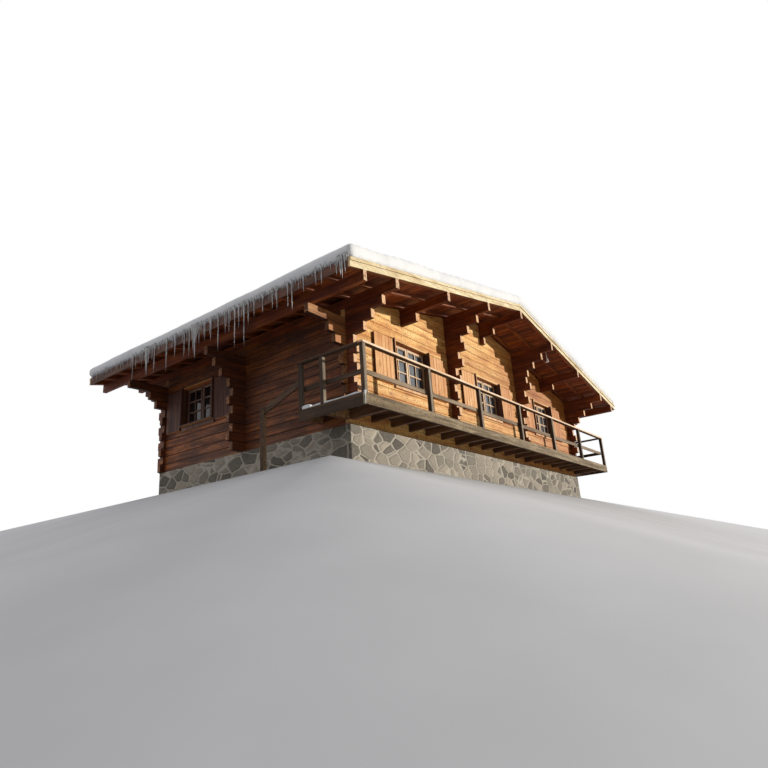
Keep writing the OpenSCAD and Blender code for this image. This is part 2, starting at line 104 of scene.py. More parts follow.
def take(*objects):
    """Selects these objects alone, the first one active."""
    let_go()
    for o in objects:
        o.select_set(True)
    bpy.context.view_layer.objects.active = objects[0]


def bake_place(piece):
    """Moves a piece's place into its mesh."""
    take(piece)
    bpy.ops.object.transform_apply(location=True, rotation=True, scale=True)


def edit_faces(piece, test):
    """Enters edit mode with the faces selected whose centre and normal pass the test."""
    take(piece)
    bpy.ops.object.mode_set(mode="EDIT")
    bpy.ops.mesh.select_mode(type="FACE")
    bpy.ops.mesh.select_all(action="DESELECT")
    bpy.ops.object.mode_set(mode="OBJECT")
    for f in piece.data.polygons:
        f.select = test(f.center, f.normal)
    bpy.ops.object.mode_set(mode="EDIT")


def edit_edges(piece, test):
    """Enters edit mode with the edges selected whose middle and direction pass the test."""
    take(piece)
    bpy.ops.object.mode_set(mode="EDIT")
    bpy.ops.mesh.select_mode(type="EDGE")
    bpy.ops.mesh.select_all(action="DESELECT")
    bpy.ops.object.mode_set(mode="OBJECT")
    points = piece.data.vertices
    for e in piece.data.edges:
        a, b = points[e.vertices[0]].co, points[e.vertices[1]].co
        e.select = test((a + b) / 2, (b - a).normalized())
    bpy.ops.object.mode_set(mode="EDIT")


def timber(name, low, high, arris=0.006):
    """A squared timber between two corners with its arrises planed off."""
    let_go()
    low, high = Vector(low), Vector(high)
    bpy.ops.mesh.primitive_cube_add(size=1, location=(low + high) / 2)
    piece = bpy.context.object
    piece.name = name
    piece.scale = high - low
    bake_place(piece)
    edit_edges(piece, lambda middle, way: True)
    bpy.ops.mesh.bevel(offset=arris, segments=1, affect="EDGES")
    bpy.ops.object.mode_set(mode="OBJECT")
    return piece


def modified(piece, *changes):
    """Adds modifiers to a piece one by one and applies each."""
    take(piece)
    for kind, settings in changes:
        modifier = piece.modifiers.new(kind.lower(), kind)
        for key, value in settings.items():
            setattr(modifier, key, value)
        bpy.ops.object.modifier_apply(modifier=modifier.name)


def repeated(piece, places):
    """Copies a piece, each copy with its own mesh, to each placing matrix, and drops the pattern."""
    made = []
    for place in places:
        twin = piece.copy()
        twin.data = piece.data.copy()
        twin.data.transform(place)
        if place.determinant() < 0:
            twin.data.flip_normals()
        bpy.context.collection.objects.link(twin)
        made.append(twin)
    bpy.data.objects.remove(piece, do_unlink=True)
    return made


def as_one(name, pieces):
    """Joins pieces into one."""
    take(*pieces)
    if len(pieces) > 1:
        bpy.ops.object.join()
    piece = bpy.context.object
    piece.name = name
    return piece


def finished(piece, finish, slot, *replaced, smooth=None):
    """Gives a piece its finish and its place in the model."""
    piece.data.materials.clear()
    piece.data.materials.append(finish)
    if smooth is not None:
        take(piece)
        bpy.ops.object.shade_smooth_by_angle(angle=math.radians(smooth))
    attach(piece, "root")
    if replaced:
        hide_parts(*replaced)
    return piece


def moved(x, y, z):
    """A placing matrix that only moves."""
    return Matrix.Translation((x, y, z))


# ---------------------------------------------------------------- materials
def colour(code):
    """An sRGB hex value as linear light."""
    parts = [int(code[i:i + 2], 16) / 255 for i in (1, 3, 5)]
    return tuple(c / 12.92 if c <= 0.04045 else ((c + 0.055) / 1.055) ** 2.4 for c in parts) + (1.0,)


def add(tree, kind, values=None, **settings):
    """Adds a node; values are numbers, colours or other nodes' outputs by socket name or number."""
    made = tree.nodes.new(kind)
    stops = settings.pop("stops", None)
    for key, value in settings.items():
        setattr(made, key, value)
    if stops:
        ramp = made.color_ramp
        while len(ramp.elements) < len(stops):
            ramp.elements.new(0.5)
        for element, (at, tint) in zip(ramp.elements, stops):
            element.position = at
            element.color = colour(tint) if isinstance(tint, str) else (tint, tint, tint, 1)
    for key, value in (values or {}).items():
        socket = made.inputs[key]
        if isinstance(value, bpy.types.NodeSocket):
            tree.links.new(value, socket)
        else:
            socket.default_value = value
    return made


def new_finish(name):
    """A new material with an empty node tree and a coordinate node."""
    made = bpy.data.materials.new(name)
    made.use_nodes = True
    made.node_tree.nodes.clear()
    tree = made.node_tree
    place = add(tree, "ShaderNodeTexCoord")
    return made, tree, place


def close_finish(tree, base, roughness, bump=None, bump_depth=0.004, bump_strength=0.6, ior=1.45, **plain):
    """Ends a material with its shader, relief and output."""
    shader = add(tree, "ShaderNodeBsdfPrincipled", {"Base Color": base, "Roughness": roughness, "IOR": ior, **plain})
    if bump is not None:
        relief = add(tree, "ShaderNodeBump", {"Height": bump, "Strength": bump_strength, "Distance": bump_depth})
        tree.links.new(relief.outputs[0], shader.inputs["Normal"])
    out = add(tree, "ShaderNodeOutputMaterial")
    tree.links.new(shader.outputs[0], out.inputs[0])


def reckon(tree, a, b, how="ADD"):
    """The result of one operation on two numbers or outputs."""
    return add(tree, "ShaderNodeMath", {0: a, 1: b}, operation=how).outputs[0]


def spread_over(tree, value, start, end, low=0.0, high=1.0):
    """A value carried over from the range start to end to the range low to high."""
    return add(tree, "ShaderNodeMapRange", {0: value, 1: start, 2: end, 3: low, 4: high}).outputs[0]


def blended(tree, share, first, second, how="MIX"):
    """Two colours, blended by a share from 0 to 1."""
    return add(tree, "ShaderNodeMix", {0: share, 6: first, 7: second}, data_type="RGBA", blend_type=how).outputs[2]


def noise_of(tree, place, scale, detail=2, **more):
    """Cloudy noise, from 0 to 1 about a middle of 0.5."""
    values = {"Vector": place, "Scale": scale, "Detail": detail, **more}
    return add(tree, "ShaderNodeTexNoise", values).outputs[0]


def stretched(tree, place, along, lengthwise, across):
    """Coordinates scaled by one number along an axis and by another across it."""
    scale = [across, across, across]
    scale[along] = lengthwise
    return add(tree, "ShaderNodeMapping", {"Vector": place, "Scale": scale}).outputs[0]


TONE_STOPS = (0.36, 0.50, 0.63)          # where the grain's dark, middle and light tones lie


def course_number(tree, xyz, along, log, boards):
    """Which course or board a point is in, as a running count, and which bay of the log wall."""
    if log:
        start, width, across = PLINTH, log, xyz[2]
    else:
        start, width, across = boards[2], boards[1], xyz["XYZ".index(boards[0])]
    count = reckon(tree, reckon(tree, across, start, "SUBTRACT"), width, "DIVIDE")
    if not log:
        return count, width, 0.0
    along_wall = xyz[0] if along == "X" else xyz[1]
    bay = reckon(tree, reckon(tree, along_wall, WALL_LINE), BAY, "DIVIDE")
    return count, width, reckon(tree, bay, 0.0, "FLOOR")


def timber_finish(name, dark, mid, light, end, along="X", log=None, rough=0.62, boards=None, spread=0.16,
                  knots=0.5, soot=0.0, streak=9.0, shaded_tones=None, flecks=0.0, joint=0.72, right_bay_shade=0.0):
    """Sawn or planed softwood: grain along one axis, knots, each log or board with its own tone, paler end grain.

    log is the height of one course, boards is (axis, width, offset) of a row of boards, shaded_tones the three
    tones of painted shade on faces turned from the front and from the sky and on all faces behind y -2.2, flecks the
    depth of the short marks of the axe across the grain, joint the darkness of the lines between courses or boards,
    right_bay_shade how far the colours are painted darker and more orange towards the right bay, as shade."""
    made, tree, place = new_finish(name)
    co = place.outputs["Object"]
    xyz = add(tree, "ShaderNodeSeparateXYZ", {0: co}).outputs
    facing = add(tree, "ShaderNodeSeparateXYZ", {0: place.outputs["Normal"]}).outputs
    axis = "XYZ".index(along)
    # grain lines of 10 to 70 mm, drawn coarser than real so that they show; lengthwise they run 1 m and more
    grain = noise_of(tree, stretched(tree, co, axis, 0.7, streak), 1.0, 5, Roughness=0.62, Distortion=0.5)
    fibre = noise_of(tree, stretched(tree, co, axis, 3, 70), 1.0, 3)
    cloud = noise_of(tree, co, 1.3, 4, Roughness=0.7)
    mix = reckon(tree, reckon(tree, grain, 0.62, "MULTIPLY"), reckon(tree, fibre, 0.14, "MULTIPLY"))
    mix = reckon(tree, mix, reckon(tree, cloud, 0.26, "MULTIPLY"))
    tone = add(tree, "ShaderNodeValToRGB", {0: mix}, stops=list(zip(TONE_STOPS, (dark, mid, light)))).outputs[0]
    if flecks:
        fleck = noise_of(tree, stretched(tree, co, axis, 36, 20), 1.0)
        tone = blended(tree, spread_over(tree, fleck, 0.52, 0.64, 0.0, flecks), tone, colour(dark))
    # painted shade: towards the right bay, from x 0.4 to 2.6, the colours turn darker and more orange
    if right_bay_shade:
        tone = blended(tree, spread_over(tree, xyz[0], 0.4, 2.6, 0.0, right_bay_shade), tone, colour("#d9b985"), "MULTIPLY")
    if shaded_tones:
        # painted shade: faces looking neither to the front nor up take the three darker tones
        away = add(tree, "ShaderNodeValToRGB", {0: mix}, stops=list(zip(TONE_STOPS, shaded_tones))).outputs[0]
        sunny = reckon(tree, reckon(tree, 0.0, facing[1], "SUBTRACT"), facing[2], "MAXIMUM")
        # painted shadow of the house: faces behind y -2.2 take the darker tones as well
        clear_of_house_shadow = spread_over(tree, xyz[1], -2.6, -2.2, 1.0, 0.0)
        tone = blended(tree, reckon(tree, spread_over(tree, sunny, 0.35, 0.75), clear_of_house_shadow, "MULTIPLY"), away, tone)
    seam = None
    if log or boards:
        # every log or board has its own shade
        count, width, bay = course_number(tree, xyz, along, log, boards)
        spot = add(tree, "ShaderNodeCombineXYZ", {0: reckon(tree, count, 0.0, "FLOOR"), 1: bay}).outputs[0]
        chance = add(tree, "ShaderNodeTexWhiteNoise", {"Vector": spot}, noise_dimensions="2D").outputs[0]
        shade = spread_over(tree, chance, 0.0, 1.0, 1 - spread, 1 + spread * 0.55)
        tone = add(tree, "ShaderNodeVectorMath", {0: tone, 3: shade}, operation="SCALE").outputs[0]
        # a shadow line about 14 mm wide between them, which opens and closes along the log
        near = reckon(tree, count, 0.5, "PINGPONG")
        seam = spread_over(tree, near, 0.012, 0.012 + 0.010 / width, 1.0, 0.0)
        seam = reckon(tree, seam, spread_over(tree, grain, 0.40, 0.56, 0.35, 1.0), "MULTIPLY")
    if knots:
        # knots of 30 to 60 mm
        knot_lane = stretched(tree, co, axis, 1.3, 2.6)
        knot = add(tree, "ShaderNodeTexVoronoi", {"Vector": knot_lane, "Scale": 1.0}).outputs[0]
        tone = blended(tree, spread_over(tree, knot, 0.045, 0.15, knots, 0.0), tone, colour(dark))
    # end grain: where the face looks along the log
    cut = spread_over(tree, reckon(tree, facing[axis], 0.0, "ABSOLUTE"), 0.80, 0.93)
    rings = noise_of(tree, co, 16.0, 3, Distortion=1.2)
    face = add(tree, "ShaderNodeValToRGB", {0: rings}, stops=[(0.34, mid), (0.52, end), (0.7, end)]).outputs[0]
    tone = blended(tree, cut, tone, face)
    height = reckon(tree, grain, reckon(tree, fibre, 0.6, "MULTIPLY"))
    if seam is not None:
        line = reckon(tree, seam, reckon(tree, 1.0, cut, "SUBTRACT"), "MULTIPLY")
        tone = blended(tree, reckon(tree, line, joint, "MULTIPLY"), tone, colour("#1c0d05"))
        height = reckon(tree, height, reckon(tree, seam, 1.4, "MULTIPLY"), "SUBTRACT")
    if soot:
        stain = noise_of(tree, co, 2.2, 6, Roughness=0.75)
        tone = blended(tree, spread_over(tree, stain, 0.5, 0.7, 0.0, soot), tone, colour("#3a2414"))
    close_finish(tree, tone, spread_over(tree, grain, 0.3, 0.7, rough + 0.1, rough - 0.08), height, bump_depth=0.006,
                 bump_strength=0.7)
    return made


# squared larch logs, sawn, clear stain, sun-bleached: honey, dark joints, checks, knots; painted shade in right bay
GABLE_LOGS = timber_finish("larch_logs_clear_stain", "#a9652a", "#e6a95b", "#fdd586", "#dcae7c", "X", log=COURSE,
                           spread=0.14, knots=0.85, soot=0.2, flecks=0.7, joint=0.5, right_bay_shade=1.0)
# the same logs on the side walls and the back gable, drawn darker and red-brown: painted shade out of the key light
SHADE_LOGS = timber_finish("larch_logs_painted_shade", "#2c1004", "#62300f", "#a8612a", "#a87648", "Y", log=COURSE,
                           spread=0.35, knots=0.6, soot=0.35, flecks=0.4)
SHADE_LOGS_X = timber_finish("larch_logs_painted_shade_gable", "#33180b", "#5c2f17", "#8c5028", "#a87648", "X",
                             log=COURSE, spread=0.3, knots=0.6, soot=0.3)
# log ends that stand out of the gable: the saw cut at the end is bleached, the dark flanks are painted shade
LOG_ENDS = timber_finish("larch_log_ends_painted_shade_flanks", "#9a5f2e", "#c98b4f", "#e0a869", "#e6b98c", "Y", log=COURSE,
                         spread=0.2, knots=0.6, soot=0.15, shaded_tones=("#32120a", "#652c12", "#934e24"))
# brackets drawn darker all over, their end grain too: painted shade of the corner stack and the house
BRACKET_ENDS = timber_finish("larch_bracket_ends_painted_shade", "#7c4620", "#b87a42", "#dca468", "#54301b", "X",
                             log=COURSE, spread=0.3, knots=0.5, soot=0.2, shaded_tones=("#2c1108", "#5a2b12", "#86491f"))
# purlins, sawn square, drawn dark as painted shade under the roof, with raw pale cuts at their ends
PURLIN = timber_finish("spruce_purlin_painted_shade", "#3a1607", "#6a2e10", "#97501e", "#d6b089", "Y", spread=0.1)
# rafters under the overhang, drawn dark brown as painted shade
RAFTER = timber_finish("spruce_rafter_painted_shade", "#4a200b", "#783a14", "#9c5524", "#8c4c25", "X", knots=0.4)
# barge boards in the sun: bleached larch with grey streaks; darker tones away from the front are painted shade
BARGE = timber_finish("bleached_larch_barge", "#ac8b58", "#e2cc9c", "#f5e9c6", "#e3c493", "X", knots=0.5, soot=0.3,
                      rough=0.55, streak=13.0, flecks=0.35, shaded_tones=("#4f331d", "#6f4a2b", "#8c6238"))
EAVE_BOARD = timber_finish("spruce_eave_board_brown_stain", "#2c160b", "#4d2814", "#6a3b1f", "#8a5c36", "Y", knots=0.4)
# balcony timber, weathered to grey-brown where the rain reaches it; the dark brown below and behind is painted shade
BALCONY = timber_finish("weathered_softwood_balcony", "#54422f", "#79644b", "#9c8468", "#a98b69", "X", spread=0.2,
                        knots=0.5, soot=0.2, rough=0.75, shaded_tones=("#23160c", "#3c2817", "#553b24"))
EDGE_BOARD = timber_finish("rough_sawn_edge_board", "#463725", "#7c6a50", "#aa9676", "#b8ab92", "X", knots=0.6,
                           soot=0.3, rough=0.8, streak=14.0, shaded_tones=("#1f140b", "#372516", "#4d3722"), flecks=0.75)
BALCONY_Y = timber_finish("weathered_softwood_balcony_lengthwise", "#59442f", "#7f664d", "#a3876a", "#a98b69", "Y",
                          knots=0.5, soot=0.2, rough=0.75, shaded_tones=("#23160c", "#3c2817", "#553b24"))
POST_WOOD = timber_finish("weathered_softwood_post", "#574a3b", "#80715f", "#a89b88", "#8f7052", "Z", knots=0.4,
                          soot=0.2, rough=0.75, shaded_tones=("#1f130a", "#352315", "#4d3622"))
CAP_WOOD = timber_finish("weathered_larch_cap_rail", "#cfa983", "#eccaa6", "#f8e2c8", "#cda078", "X", knots=0.3,
                         rough=0.6, shaded_tones=("#251408", "#3b2213", "#54351e"))
DECK_BEAM = timber_finish("spruce_beam_brown_stain", "#38200f", "#5c3a20", "#7a5231", "#a27a4f", "Y", knots=0.5)
FLOOR = timber_finish("oiled_spruce_floor", "#7a5734", "#a37a4c", "#bd9360", "#a37a4c", "X",
                      boards=("Y", 0.14, 0.0), knots=0.4)
# window frames in pale weathered paint, casings and shutters pale on the gable, all dark elsewhere: painted shade
FRAME = timber_finish("pale_painted_window_wood", "#b98f66", "#e0bc94", "#f2d6b4", "#dcb68e", "Z", knots=0.0,
                      rough=0.5, shaded_tones=("#3f271c", "#5a3a2c", "#70503e"))
# casings and shutters also take the painted shade of the right bay
CASING = timber_finish("planed_larch_casing", "#a8713f", "#d6a069", "#ecc192", "#b98350", "Z", knots=0.2,
                       shaded_tones=("#2f170f", "#4f2e20", "#6e4734"), right_bay_shade=0.6)
# its orange tones below and behind are painted shade of the head board's underside
HEAD_BOARD = timber_finish("larch_head_board_painted_shade_below", "#b9864c", "#dcae72", "#efca94", "#b98350", "X", knots=0.3,
                           shaded_tones=("#7a3608", "#a2581c", "#c27c3a"))
SHUTTER = timber_finish("larch_shutter_honey_stain", "#b06a30", "#dc9d5e", "#f2bf80", "#cc8a4e", "Z", knots=0.6,
                        soot=0.15, shaded_tones=("#240d06", "#44200f", "#663419"), flecks=0.3, right_bay_shade=0.8)


def snow_finish():
    """Packed snow: matt, almost white, with faint blue hollows and a fine crumb."""
    made, tree, place = new_finish("packed_snow")
    co = place.outputs["Object"]
    drift = noise_of(tree, co, 2.5, 5)
    crumb = noise_of(tree, co, 28.0, 4, Roughness=0.7)
    tone = add(tree, "ShaderNodeValToRGB", {0: drift}, stops=[(0.3, "#e6e8ec"), (0.6, "#f1f2f4")]).outputs[0]
    close_finish(tree, tone, 0.9, reckon(tree, crumb, drift), bump_depth=0.006, bump_strength=0.5, ior=1.31)
    return made


def ice_finish():
    """Icicle ice: clear and glossy with white bubbles in its core."""
    made, tree, place = new_finish("icicle_ice")
    cloud = noise_of(tree, place.outputs["Object"], 18.0, 3)
    tone = add(tree, "ShaderNodeValToRGB", {0: cloud}, stops=[(0.35, "#c6c5c6"), (0.65, "#f0efee")]).outputs[0]
    close_finish(tree, tone, 0.16, cloud, bump_depth=0.004, bump_strength=0.4, ior=1.31,
                 **{"Transmission Weight": 0.25})
    return made


def pane_finish():
    """Clear float glass in front of a dark room, its slate blue a painted reflection in the base colour."""
    made, tree, place = new_finish("float_glass_pane")
    reflection_mottle = noise_of(tree, place.outputs["Object"], 2.2, 3)
    tone = add(tree, "ShaderNodeValToRGB", {0: reflection_mottle}, stops=[(0.3, "#5f676f"), (0.7, "#8b9096")]).outputs[0]
    # panes facing the sides are drawn much darker: painted shade of the side windows
    sideways = add(tree, "ShaderNodeSeparateXYZ", {0: place.outputs["Normal"]}).outputs[0]
    tone = blended(tree, reckon(tree, sideways, 0.0, "ABSOLUTE"), tone, colour("#23211f"))
    close_finish(tree, tone, 0.06, reflection_mottle, bump_depth=0.002, bump_strength=0.1, ior=1.52,
                 **{"Transmission Weight": 0.3})
    return made


def plinth_finish():
    """Rubble stone laid in lime mortar: grey-brown stones of 150 to 350 mm, pale joints set back."""
    made, tree, place = new_finish("rubble_stone_in_lime_mortar")
    lane = add(tree, "ShaderNodeMapping", {"Vector": place.outputs["Object"], "Scale": (3.4, 3.4, 5.6)}).outputs[0]
    wobble = add(tree, "ShaderNodeTexNoise", {"Vector": lane, "Scale": 1.6, "Detail": 2}).outputs[1]
    lane = add(tree, "ShaderNodeMix", {0: 0.22, 4: lane, 5: wobble}, data_type="VECTOR").outputs[1]
    stone = add(tree, "ShaderNodeTexVoronoi", {"Vector": lane, "Scale": 1.0})
    edge = add(tree, "ShaderNodeTexVoronoi", {"Vector": lane, "Scale": 1.0}, feature="DISTANCE_TO_EDGE").outputs[0]
    grit = noise_of(tree, place.outputs["Object"], 30.0, 5)
    pick = add(tree, "ShaderNodeSeparateColor", {0: stone.outputs[1]}).outputs[0]
    pick = reckon(tree, reckon(tree, pick, 0.6, "MULTIPLY"), reckon(tree, grit, 0.4, "MULTIPLY"))
    tone = add(tree, "ShaderNodeValToRGB", {0: pick}, stops=[(0.2, "#5b554d"), (0.5, "#8a8378"), (0.8, "#a99f90")])
    tone = blended(tree, spread_over(tree, edge, 0.03, 0.08, 1.0, 0.0), tone.outputs[0], colour("#b8b0a2"))
    rise = spread_over(tree, edge, 0.0, 0.14)
    close_finish(tree, tone, 0.9, reckon(tree, rise, reckon(tree, grit, 0.3, "MULTIPLY")), bump_depth=0.03,
                 bump_strength=0.8)
    return made


def shingle_finish():
    """Split larch shingles, weathered grey: rows of 120 mm, each shingle its own grey."""
    made, tree, place = new_finish("weathered_larch_shingles")
    rows = add(tree, "ShaderNodeTexBrick", {"Vector": place.outputs["Object"], "Color1": colour("#5f574e"),
               "Color2": colour("#7d7368"), "Mortar": colour("#2d2822"), "Scale": 1.0, "Mortar Size": 0.006,
               "Brick Width": 0.11, "Row Height": 0.12})
    grain = noise_of(tree, place.outputs["Object"], 24.0, 4)
    close_finish(tree, rows.outputs[0], 0.85, reckon(tree, rows.outputs[1], grain), bump_depth=0.006)
    return made


def enamel_finish():
    """White enamelled steel: smooth and glossy with a faint mottle."""
    made, tree, place = new_finish("white_enamelled_steel")
    mottle = noise_of(tree, place.outputs["Object"], 60.0)
    tone = add(tree, "ShaderNodeValToRGB", {0: mottle}, stops=[(0.3, "#dcdcd8"), (0.7, "#f0f0ec")]).outputs[0]
    close_finish(tree, tone, 0.28, mottle, bump_depth=0.001, bump_strength=0.2, ior=1.5)
    return made


SNOW, ICE, PANE, RUBBLE = snow_finish(), ice_finish(), pane_finish(), plinth_finish()
SHINGLES, ENAMEL = shingle_finish(), enamel_finish()

KEPT = {
    RUBBLE: ("plinth_front", "plinth_back", "plinth_left", "plinth_right"),
    FLOOR: ("ground_floor",),
    DECK_BEAM: ("floor_beams", "balcony_beams", "balcony_joists"),
    GABLE_LOGS: ("front_wall",),
    SHADE_LOGS_X: ("back_wall",),
    SHADE_LOGS: ("left_wall", "right_wall"),
    LOG_ENDS: ("front_log_ends", "front_corbels", "back_log_ends", "back_corbels"),
    BRACKET_ENDS: ("left_brackets", "right_brackets"),
    PURLIN: ("ridge_purlin", "left_purlins", "right_purlins"),
    RAFTER: ("rafters",),
    SHINGLES: ("roof_shingles",),
    BARGE: ("front_barge", "back_barge"),
    EAVE_BOARD: ("eave_boards",),
    EDGE_BOARD: ("front_edge_board",),
    BALCONY_Y: ("side_edge_boards", "ramp_handrail"),
    PANE: ("window_glass",),
    SHUTTER: ("window_shutters", "back_door"),
    ENAMEL: ("eave_lamp",),
}
for finish, names in KEPT.items():
    for name in names:
        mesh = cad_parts[name].data
        mesh.materials.clear()
        mesh.materials.append(finish)


# ---------------------------------------------------------------- roof boards
def roof_boards():
    """Boards laid along the house on the rafters, seen from below."""
    count, gap, thick = 50, 0.003, 0.0234
    width = EAVE / math.cos(PITCH) / count
    half = width / 2 - gap
    board = timber("roof_boards_laid", (-half, -ROOF_END, -thick / 2), (half, ROOF_END, thick / 2), 0.005)
    places = []
    for side in (-1, 1):
        for i in range(count):
            x = (i + 0.5) * width * math.cos(PITCH)
            lift = rafter_line(x) + RAFTER_H + BOARD_T / 2
            places.append(moved(side * x, 0, lift) @ Matrix.Rotation(side * PITCH, 4, "Y"))
    boards = as_one("roof_boards_laid", repeated(board, places))
    # dark red-brown tones: painted shade under the roof
    soffit = timber_finish("spruce_roof_boards_painted_shade", "#461b07", "#7a3711", "#ac5e24", "#955229", "Y",
                           boards=("X", width * math.cos(PITCH), 0.0), spread=0.42, knots=0.5)
    finished(boards, soffit, "soffit_wood", "roof_boards")


# ---------------------------------------------------------------- snow
def lumpy(piece, coarse, fine, floor_of):
    """Moves the points of a snow piece in and out as wind and thaw leave it."""
    ways = [v.normal.copy() for v in piece.data.vertices]
    for v, way in zip(piece.data.vertices, ways):
        p = v.co.copy()
        if p.z > floor_of(p) + 0.05:
            v.co = p + way * (noise.noise(p * 0.9) * coarse + noise.noise(p * 5.5) * fine)


def roof_snow():
    """One slab over both slopes, rolled over at the eaves, sharp but soft-edged at the verges."""
    deep, end = 0.280, 4.518                                         # depth; half of its length along the house
    far, past_ridge, roll = 7.265 / math.cos(PITCH) + 0.14, 0.058, 0.136
    slabs = []
    for side in (-1, 1):
        let_go()
        bpy.ops.mesh.primitive_cube_add(size=1)
        slab = bpy.context.object
        slab.scale = (far + past_ridge, 2 * end, deep)
        slab.location = ((far - past_ridge) / 2, 0, 0)
        bake_place(slab)
        edit_edges(slab, lambda middle, way: middle.x > far - 0.01 and abs(way.y) > 0.9)
        bpy.ops.mesh.bevel(offset=roll, segments=7, affect="EDGES")
        bpy.ops.object.mode_set(mode="OBJECT")
        lift = rafter_line(0) + ROOF_T + deep / math.cos(PITCH) / 2
        slab.data.transform(moved(0, 0, lift) @ Matrix.Rotation(PITCH, 4, "Y"))
        if side < 0:
            slab.data.transform(Matrix.Rotation(math.pi, 4, "Z"))
        slabs.append(slab)
    cover = as_one("snow_cover", slabs)
    modified(cover, ("REMESH", {"mode": "VOXEL", "voxel_size": 0.058}), ("SMOOTH", {"factor": 0.5, "iterations": 3}))
    lumpy(cover, 0.022, 0.005, lambda p: rafter_line(p.x) + ROOF_T)
    finished(cover, SNOW, "snow", "roof_snow", smooth=60)


# ---------------------------------------------------------------- icicles
LONG_ICICLES = ((2.42, 2.65), (2.29, 2.97), (2.03, 2.92), (1.82, 2.92), (1.51, 2.62), (1.03, 2.51), (0.70, 2.79),
                (0.36, 2.69), (0.18, 2.62), (0.03, 2.75), (-0.16, 2.84), (-0.37, 2.85), (-0.58, 2.79), (-0.82, 2.50),
                (-1.04, 2.83), (-1.17, 2.81), (-1.35, 2.42), (-1.48, 2.80), (-1.64, 2.37), (-1.77, 2.79),
                (-1.94, 2.90), (-2.20, 2.92), (-2.49, 2.90), (-2.61, 2.83), (-2.90, 2.79), (-3.02, 2.68),
                (-3.33, 2.96), (-3.66, 2.97), (-3.79, 2.94), (-4.16, 3.00), (-4.37, 2.96))
ICE_CLUSTERS = ((1.81, 2.62), (-0.02, 2.55), (-4.30, 2.86))      # thick ones grown together, by place and tip height
ICE_ROOT, DRIP_LINE, ICE_END = 3.372, 7.375, 4.46                # height and distance of their roots; end of the rows
LONG_THICK, CLUSTER_THICK, FAR_THICK, SHORT_THICK = 0.060, 0.085, 0.045, 0.048


def icicle(name, bulge):
    """An icicle one metre long and one across, hanging from the origin: a cone cut into rings that swell and thin."""
    let_go()
    bpy.ops.mesh.primitive_cone_add(vertices=7, radius1=0.5, radius2=0.0, depth=1, location=(0, 0, -0.5),
                                    rotation=(math.pi, 0, 0))
    piece = bpy.context.object
    piece.name = name
    bake_place(piece)
    edit_edges(piece, lambda middle, way: abs(way.z) > 0.6)
    bpy.ops.mesh.subdivide(number_cuts=5)
    bpy.ops.object.mode_set(mode="OBJECT")
    for v in piece.data.vertices:
        t = -v.co.z
        swell = (1 + 0.25 * math.sin(9 * t + bulge)) * (1 - 0.45 * math.sin(math.pi * min(t * 1.3, 1)))
        v.co.x = v.co.x * swell + 0.05 * math.sin(4 * t + bulge) * t
        v.co.y = v.co.y * swell + 0.05 * math.cos(5 * t) * t
    return piece


def icicles():
    """Rows of icicles along both eaves: the long ones where the thaw runs, short ones between them."""
    chance = random.Random(7)
    for side, name in ((-1, "icicles_left"), (1, "icicles_right")):
        row = [(y, ICE_ROOT - tip, LONG_THICK) for y, tip in LONG_ICICLES]
        for y, tip in ICE_CLUSTERS:
            row += [(y + d, (ICE_ROOT - tip) * part, CLUSTER_THICK)
                    for d, part in ((0.0, 1.0), (0.05, 0.8), (-0.06, 0.6), (0.10, 0.45), (-0.11, 0.35))]
        if side > 0:
            row = [(-y + chance.uniform(-0.1, 0.1), drop * chance.uniform(0.4, 1.0), FAR_THICK) for y, drop, _ in row]
        y = -ICE_END
        while y < ICE_END:
            drop = chance.uniform(0.10, 0.26) if chance.random() < 0.85 else chance.uniform(0.26, 0.42)
            row.append((y, drop, SHORT_THICK))
            y += chance.uniform(0.04, 0.09)
        patterns = [icicle("icicle_pattern", bulge) for bulge in (0.0, 2.0, 4.0)]
        made = []
        for k, (y, drop, thick) in enumerate(row):
            twin = patterns[k % 3].copy()
            twin.data = patterns[k % 3].data.copy()
            width = thick * (0.75 + 0.5 * min(drop, 0.9))
            turn = Matrix.Rotation(chance.uniform(0, 6.28), 4, "Z")
            size = Matrix.Diagonal((width, width, drop, 1))
            twin.data.transform(moved(side * (DRIP_LINE - chance.uniform(0, 0.02)), y, ICE_ROOT) @ size @ turn)
            bpy.context.collection.objects.link(twin)
            made.append(twin)
        for pattern in patterns:
            bpy.data.objects.remove(pattern, do_unlink=True)
        finished(as_one(name, made), ICE, "snow", smooth=70)


# ---------------------------------------------------------------- balcony
def balcony_boards():
    """Deck boards laid along the gable with gaps between them, and short ones beside the side walls."""
    gap, arris, front_rows, side_rows = 0.008, 0.004, 6, 5
    inner = DECK_X - EDGE_T
    front = DECK_Y - EDGE_T
    step = (front - HALF_LEN) / front_rows
    half = (step - gap) / 2
    long_board = timber("deck_boards", (-inner, -half, -DECK_T), (inner, half, 0), arris)
    boards = repeated(long_board, [moved(0, -front + (i + 0.5) * step, DECK) for i in range(front_rows)])
    step = (HALF_LEN - DECK_END) / side_rows
    half = (step - gap) / 2
    short_board = timber("deck_boards_short", (HALF_W, -half, -DECK_T), (inner, half, 0), arris)
    places = [moved(0, -HALF_LEN + (i + 0.5) * step, DECK) for i in range(side_rows)]
    shorts = repeated(short_board, places + [p @ Matrix.Rotation(math.pi, 4, "Z") for p in places])
    finished(as_one("deck_boards", boards + shorts), BALCONY, "balcony_wood", "front_deck", "side_decks")


